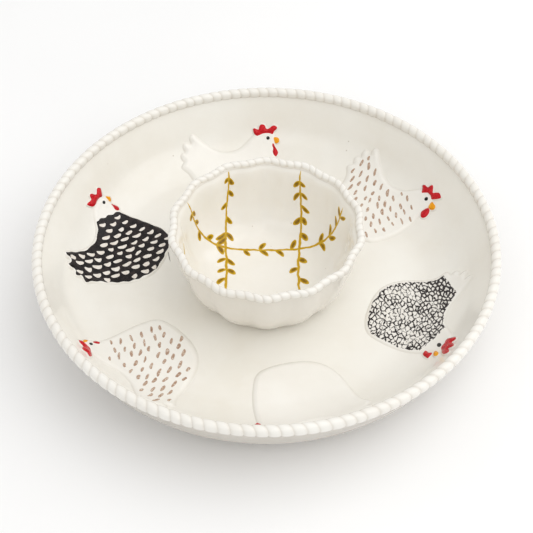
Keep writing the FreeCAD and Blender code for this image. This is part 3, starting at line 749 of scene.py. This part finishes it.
def rows(seed, along, across, lean, length, width, angle, inset, collar, loose=0.6):
    """Staggered rows of marks over a painted body: (u, v, length, width, angle)."""
    g = np.random.default_rng(seed)
    c, k = math.cos(math.radians(lean)), math.sin(math.radians(lean))
    grid = []
    for j in range(-14, 15):
        for i in range(-9, 10):
            a = (i + 0.5 * (j % 2)) * along + g.normal(0, loose)
            b = j * across + g.normal(0, loose * 0.5)
            u, v = -30.0 + a * c - b * k, -32.0 + a * k + b * c
            L = length * (1 + g.normal(0, 0.12)) * np.interp(u, [-65.0, -40.0, 0.0], [1.14, 1.08, 0.84])
            W = width * (1 + g.normal(0, 0.08))
            ang = np.interp(u, [-65.0, -38.0, -12.0, 6.0], angle) + g.normal(0, 4.0)
            grid.append((u, v, L, W, ang))
    grid = np.array(grid)
    d = painted_body(inset, collar)(grid[:, 0], grid[:, 1])
    return [(u, v, min(L, 2.0 + 1.9 * e), min(W, 1.6 + 0.8 * e), ang) for (u, v, L, W, ang), e in zip(grid, d) if e > 0.9]


black_paint = hen_sheet("hen_left_black_paint", HEN_BODY, "left", 0.5, 0.10, BLACK, 0.3, inside=painted_body(1.0, 0.0, 0.4))
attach(black_paint, "platter")

SCALLOPS = rows(31, 10.1, 5.3, -42.0, 7.1, 3.1, [-54.0, -43.0, -30.0, -20.0], 1.6, -1.0, 0.45)
DASHES = {
    "right": rows(41, 10.6, 5.4, -50.0, 6.8, 2.25, [-68.0, -54.0, -36.0, -8.0], 2.2, -2.0, 0.9),
    "left_front": rows(42, 10.6, 5.4, -50.0, 6.8, 2.25, [-68.0, -54.0, -36.0, -8.0], 2.2, -2.0, 0.9),
}


def blobs(name, items, key, mats, thick, moon, seed, keep=lambda u, v: True, ns=17, nt=9):
    """Brush marks: short tapered dabs laid over the relief."""
    g = np.random.default_rng(seed)
    V, F, D = [], [], []
    s = np.linspace(-1, 1, ns)
    t = np.linspace(-1, 1, nt)
    S, T = np.meshgrid(s, t, indexing="ij")
    for (cu, cv, L, W, ang) in items:
        if not keep(cu, cv):
            continue
        grow = 1.03 if moon else 1.06
        L, W = L * (1 + g.normal(0, 0.04)) * grow, W * (1 + g.normal(0, 0.05)) * grow
        a = math.radians(ang + g.normal(0, 3.0))
        cx, sx = math.cos(a), math.sin(a)
        bend = g.normal(0, 0.05) * L
        if moon:
            top = 0.10 * W * np.clip(1 - np.abs(S) ** 6.0, 0, 1)
            bot = 0.90 * W * np.clip(1 - np.abs(S) ** 2.0, 0, 1) ** 0.58
            y = np.where(T > 0, T * top, T * bot)
        else:
            y = T * 0.5 * W * np.clip(1 - np.abs(S) ** 2.3, 0, 1) ** 0.6
        y = y + bend * (1 - S ** 2) * 0.5 + 0.06 * W * np.sin(3.1 * S + g.uniform(0, 6))
        x = S * L / 2
        u, v = cu + x * cx - y * sx, cv + x * sx + y * cx
        e = np.minimum((1 - np.abs(S)) * L / 2, (1 - np.abs(T)) * W / 2)
        P = hen_point(u, v, HENS[key][0], np.maximum(hen_height(u, v, key), 0.0) + film(e - 0.05, thick, 0.22))
        st = len(V) * ns * nt
        V.append(P.reshape(-1, 3))
        D.append(e.ravel())
        F.append(grid_faces(ns, nt, start=st))
    return make_mesh(name, np.vstack(V), np.vstack(F), mats, {"edge_d": np.concatenate(D)})


scallops = blobs("hen_left_scallops", SCALLOPS, "left", CREAM, 0.20, True, 11)
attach(scallops, "platter")
for key, seed in (("right", 21), ("left_front", 22)):
    fl = blobs("hen_%s_flecks" % key, DASHES[key], key, TAUPE, 0.07, False, seed)
    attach(fl, "platter")



def thin_dark_line():
    """A thin black line on the dish beside the black hen, off the left side of the dip bowl."""
    n, nt = 26, 5
    k = np.linspace(0, 1, n)
    qq = 74.0 + 6.0 * k
    th = np.radians(167.0 - 8.4 * k)
    w = 0.34 * np.sin(math.pi * np.clip(k, 0.04, 0.96)) ** 0.6
    t = np.linspace(-1, 1, nt)
    Q2 = qq[:, None] - t[None, :] * w[:, None] * 0.9
    T2 = th[:, None] - t[None, :] * w[:, None] * 0.45 / qq[:, None]
    e = (1 - np.abs(t))[None, :] * w[:, None]
    P = dish_point(Q2, T2, film(e - 0.04, 0.09, 0.14)).reshape(-1, 3)
    return make_mesh("platter_thin_dark_line", P, grid_faces(n, nt, flip=True), BLACK, {"edge_d": np.full(n * nt, 1.0)})


thin_dark_line_piece = thin_dark_line()
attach(thin_dark_line_piece, "platter")

speckle = hen_sheet("hen_right_front_speckles", HEN_BODY, "right_front", 0.6, 0.08, SPECKLE, 0.3,
                    inside=painted_body(1.4, -3.0, 1.7, True))
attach(speckle, "platter")

# ---------------------------------------------------------------------------
# Dip bowl
# ---------------------------------------------------------------------------
BOWL_IN = round_curve([(0, 14.4), (18, 14.4), (30, 14.45), (36, 14.75), (42.4, 16.0), (47.2, 18.9), (50.9, 22.8), (55.2, 30.0),
                       (57.8, 37.8), (59.3, 45.8), (60.5, 56.0), (61.5, 61.0), (62.9, 64.0)], 9)
BOWL_OUT = round_curve([(66.6, 64.0), (65.3, 61.0), (64.3, 56.0), (63.3, 45.8), (61.9, 37.5), (59.4, 29.3), (55.3, 21.0), (52.4, 16.6),
                        (49.8, 12.9), (48.2, 10.9), (47.4, 9.75)], 9)
bq = np.r_[0, np.cumsum(np.hypot(*np.diff(BOWL_IN, axis=0).T))]
BQ_TOP = bq[-1]


def lobe_in(zz):
    return 0.8 * np.clip((zz - 9.0) / 18.0, 0.0, 1.0) ** 1.0


def bowl_point(X, Y, h):
    """Inside of the dip bowl from flat coordinates: distance from the centre along the surface."""
    X, Y = np.asarray(X, float), np.asarray(Y, float)
    qq = np.hypot(X, Y)
    th = np.arctan2(Y, X)
    rr, zz = np.interp(qq, bq, BOWL_IN[:, 0]), np.interp(qq, bq, BOWL_IN[:, 1])
    e = 0.4
    dr = np.interp(qq + e, bq, BOWL_IN[:, 0]) - np.interp(qq - e, bq, BOWL_IN[:, 0])
    dz = np.interp(qq + e, bq, BOWL_IN[:, 1]) - np.interp(qq - e, bq, BOWL_IN[:, 1])
    n = np.hypot(dr, dz) + 1e-9
    nr, nz = -dz / n, dr / n
    L = lobe_in(zz)
    rr = rr - L * np.cos(14 * th) - 0.12 * L * np.cos(28 * th)
    rr, zz = rr + h * nr, zz + h * nz
    return np.stack([rr * np.cos(th), rr * np.sin(th), zz], -1)


land = round_curve([(62.9, 64.0), (63.45, 64.9), (64.3, 65.6), (66.2, 65.6), (67.2, 65.0), (66.9, 64.3), (66.6, 64.0)], 3)[1:-1]
bfoot = round_curve([(47.4, 9.75), (46.9, 9.4), (45.6, 9.4), (44.2, 9.4), (42.9, 9.45), (42.0, 9.9), (41.2, 10.7), (38.0, 11.0)], 3)[1:]
bprof = np.vstack([BOWL_IN, land, BOWL_OUT, bfoot, np.stack([np.linspace(34, 0, 12), np.full(12, 11.0)], -1)])
nin = len(BOWL_IN)
lob = np.zeros(len(bprof))
lob[:nin] = lobe_in(bprof[:nin, 1])
k0, k1 = nin + len(land), nin + len(land) + len(BOWL_OUT)
lob[nin:k0] = np.linspace(0.8, 1.0, len(land))
lob[k0:k1] = 1.0 * np.minimum(1.0, 0.35 + (bprof[k0:k1, 1] - 9.0) / 18.0)
lob[k1:] = np.linspace(lob[k1 - 1], 0.0, len(bprof) - k1) * (bprof[k1:, 0] > 40)
# Painted shade: darker glaze under the rope inside, faintly at the inside bottom corner, over the outside wall, and
# most at the foot where the bowl stands on the platter.
bowl_pool_and_shade = np.zeros(len(bprof))
for i, p in enumerate(bprof):
    if i < nin:
        bowl_pool_and_shade[i] = 0.12 * math.exp(-((p[1] - 64.2) / 1.2) ** 2) + 0.04 * math.exp(-((p[0] - 44.0) / 4.0) ** 2)
    elif i < k1:
        bowl_pool_and_shade[i] = 0.22 + 0.20 * math.exp(-((p[1] - 64.2) / 1.4) ** 2) + 0.45 * math.exp(-((p[1] - 9.4) / 1.6) ** 2)
bbare = np.array([1 if (42.5 < p[0] < 46.95 and p[1] < 9.5 and i >= k1) else 0 for i, p in enumerate(bprof)])
bowl = lathe("dip_bowl_fired", bprof, 14 * 34, [GLAZE_BOWL, BISQUE], lobes=lob, face_mat=bbare, attrs={"pool": bowl_pool_and_shade})
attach(bowl, "dip_bowl")
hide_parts("dip_bowl_shell")
bowl_rope = rope("dip_bowl_rope", 66.0, 66.0, 2.70, 2.15, 64.0, 70, 27.0, GLAZE_ROPE, lobe=1.0, per=16, nj=30, seed=9)
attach(bowl_rope, "dip_bowl")
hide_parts("dip_bowl_bead_border")

# Vines: two from front to back, two across, in flat coordinates of the inside. Each stem is a
# shallow bow, and its leaves stand at even steps, singly or in pairs, by a seeded choice.
def bow(along_y, start, end, mid, sag):
    k = np.linspace(start, end, 24)
    off = mid + sag * (k / 86.0) ** 2
    return np.stack([off, k] if along_y else [k, off], -1)


STEMS = {
    "left": bow(True, 89, -80, -29.5, -13.0),
    "right": bow(True, 89, -80, 23.5, 14.0),
    "back": bow(False, -89, 84, 24.0, 14.0),
    "front": bow(False, -82, 68, -33.0, 34.0),
}


def leaf_list():
    g = np.random.default_rng(58)
    out = []
    for i, pts in enumerate(STEMS.values()):
        c = resample(pts, 0.5)
        run = np.r_[0, np.cumsum(np.hypot(*np.diff(c, axis=0).T))]
        at = 7.0 + 2.0 * i
        side = 1.0 if i % 2 else -1.0
        while at < run[-1] - 4.0:
            x, y = np.interp(at, run, c[:, 0]), np.interp(at, run, c[:, 1])
            x2, y2 = np.interp(at + 1.0, run, c[:, 0]), np.interp(at + 1.0, run, c[:, 1])
            head = math.atan2(y2 - y, x2 - x)
            crossing = min(abs(x + 31.0), abs(x - 25.0)) < 4.5 and i > 1
            crossing = crossing or (min(abs(y - 26.0), abs(y + 29.5)) < 4.5 and i < 2)
            if not crossing:
                for sd in ((side, -side) if g.uniform() < 0.42 else (side,)):
                    a = head + sd * math.radians(50.0 + g.normal(0, 7.0))
                    L = 8.3 + g.normal(0, 0.8)
                    out.append((x, y, x + L * math.cos(a), y + L * math.sin(a), 3.6 + g.normal(0, 0.25)))
            side = -side
            at += 11.0 + g.normal(0, 1.0)
    return out


LEAVES = leaf_list()


def stems():
    V, F, D = [], [], []
    nt = 7
    t = np.linspace(-1, 1, nt)
    n = 0
    for i, (nm, pts) in enumerate(STEMS.items()):
        c = resample(round_curve(pts, 6), 0.9)
        tan = np.gradient(c, axis=0)
        tan /= np.hypot(tan[:, 0], tan[:, 1])[:, None]
        nor = np.stack([-tan[:, 1], tan[:, 0]], -1)
        k = np.arange(len(c))
        w = 1.10 + 0.12 * np.sin(k * 0.21 + i) + 0.08 * np.sin(k * 0.67 + 2 * i)
        w *= np.clip(np.minimum(k, len(c) - 1 - k) / 8.0, 0.15, 1.0) ** 0.6
        wav = 0.16 * np.sin(k * 0.33 + i * 1.7) + 0.08 * np.sin(k * 0.81)
        P2 = c[:, None, :] + nor[:, None, :] * (wav[:, None] + t[None, :] * w[:, None])[..., None]
        e = (1 - np.abs(t))[None, :] * w[:, None]
        h = film(e - 0.04, 0.13, 0.20)
        P = bowl_point(P2[..., 0], P2[..., 1], h)
        V.append(P.reshape(-1, 3))
        D.append(e.ravel())
        F.append(grid_faces(len(c), nt, start=n))
        n += len(c) * nt
    return make_mesh("dip_bowl_vine_stems", np.vstack(V), np.vstack(F), VINE, {"edge_d": np.concatenate(D)})


def leaves():
    g = np.random.default_rng(77)
    V, F, D = [], [], []
    ns, nt = 15, 9
    s = np.linspace(0, 1, ns)
    t = np.linspace(-1, 1, nt)
    S, T = np.meshgrid(s, t, indexing="ij")
    for i, (x0, y0, x1, y1, w) in enumerate(LEAVES):
        L = math.hypot(x1 - x0, y1 - y0)
        dx, dy = (x1 - x0) / L, (y1 - y0) / L
        shape = np.sin(math.pi * np.clip(S, 0, 1) ** 1.05) ** 0.55
        half = 0.5 * w * 1.22 * shape * (1 + g.normal(0, 0.05))
        bend = g.normal(0, 0.07) * L * np.sin(math.pi * S)
        y = T * half + bend
        x = S * L * 1.08
        e = np.minimum(np.minimum(S, 1 - S) * L * 0.6, (1 - np.abs(T)) * half)
        P = bowl_point(x0 + x * dx - y * dy, y0 + x * dy + y * dx, film(e - 0.05, 0.19, 0.24))
        V.append(P.reshape(-1, 3))
        D.append(e.ravel())
        F.append(grid_faces(ns, nt, start=i * ns * nt))
    return make_mesh("dip_bowl_vine_leaves", np.vstack(V), np.vstack(F), LEAF, {"edge_d": np.concatenate(D)})


for ob in (stems(), leaves()):
    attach(ob, "dip_bowl")

# ---------------------------------------------------------------------------
# Stage, light and camera
# ---------------------------------------------------------------------------
floor_m = Mat("pale_floor")
fcol = floor_m.ramp(floor_m.noise(3.0, 2.0), [(0.3, (0.90, 0.90, 0.90)), (0.7, (0.93, 0.93, 0.93))])
floor_mat = floor_m.finish(fcol, 0.85, spec=0.1)
me = bpy.data.meshes.new("studio_floor")
me.from_pydata([(-4, -4, -0.0004), (4, -4, -0.0004), (4, 4, -0.0004), (-4, 4, -0.0004)], [], [(0, 1, 2, 3)])
me.materials.append(floor_mat)
floor = bpy.data.objects.new("studio_floor", me)
bpy.context.scene.collection.objects.link(floor)


def area(name, loc, target, sx, sy, power, color=(1, 1, 1)):
    L = bpy.data.lights.new(name, "AREA")
    L.shape, L.size, L.size_y, L.energy, L.color = "RECTANGLE", sx, sy, power, color
    o = bpy.data.objects.new(name, L)
    o.location = loc
    o.rotation_euler = (Vector(target) - Vector(loc)).to_track_quat("-Z", "Y").to_euler()
    bpy.context.scene.collection.objects.link(o)
    return o


area("key_softbox", (0.98, 0.0, 1.48), (0, 0, 0.03), 2.2, 2.2, 15.5, (1.0, 0.992, 0.980))
area("front_fill", (-0.4, -1.4, 1.7), (0, 0, 0.03), 1.6, 1.0, 3.0)
world = bpy.data.worlds.new("studio")
world.use_nodes = True
bpy.context.scene.world = world
bg = world.node_tree.nodes["Background"]
bg.inputs["Color"].default_value = (1.0, 0.998, 0.992, 1.0)
bg.inputs["Strength"].default_value = 0.80

vs = bpy.context.scene.view_settings
vs.view_transform = "Standard"
vs.look = "None"
vs.exposure = 0.0
vs.gamma = 1.0

cam_data = bpy.data.cameras.new("camera")
cam_data.lens = 72.49
cam_data.sensor_width = 36.0
cam_data.clip_start, cam_data.clip_end = 0.05, 20.0
cam = bpy.data.objects.new("camera", cam_data)
aim = Vector((0.0, -0.02756, 0.054))
el = math.radians(48.37)
cam.location = aim + Vector((0.0, -0.7425 * math.cos(el), 0.7425 * math.sin(el)))
cam.rotation_euler = (aim - cam.location).to_track_quat("-Z", "Y").to_euler()
bpy.context.scene.collection.objects.link(cam)
bpy.context.scene.camera = cam
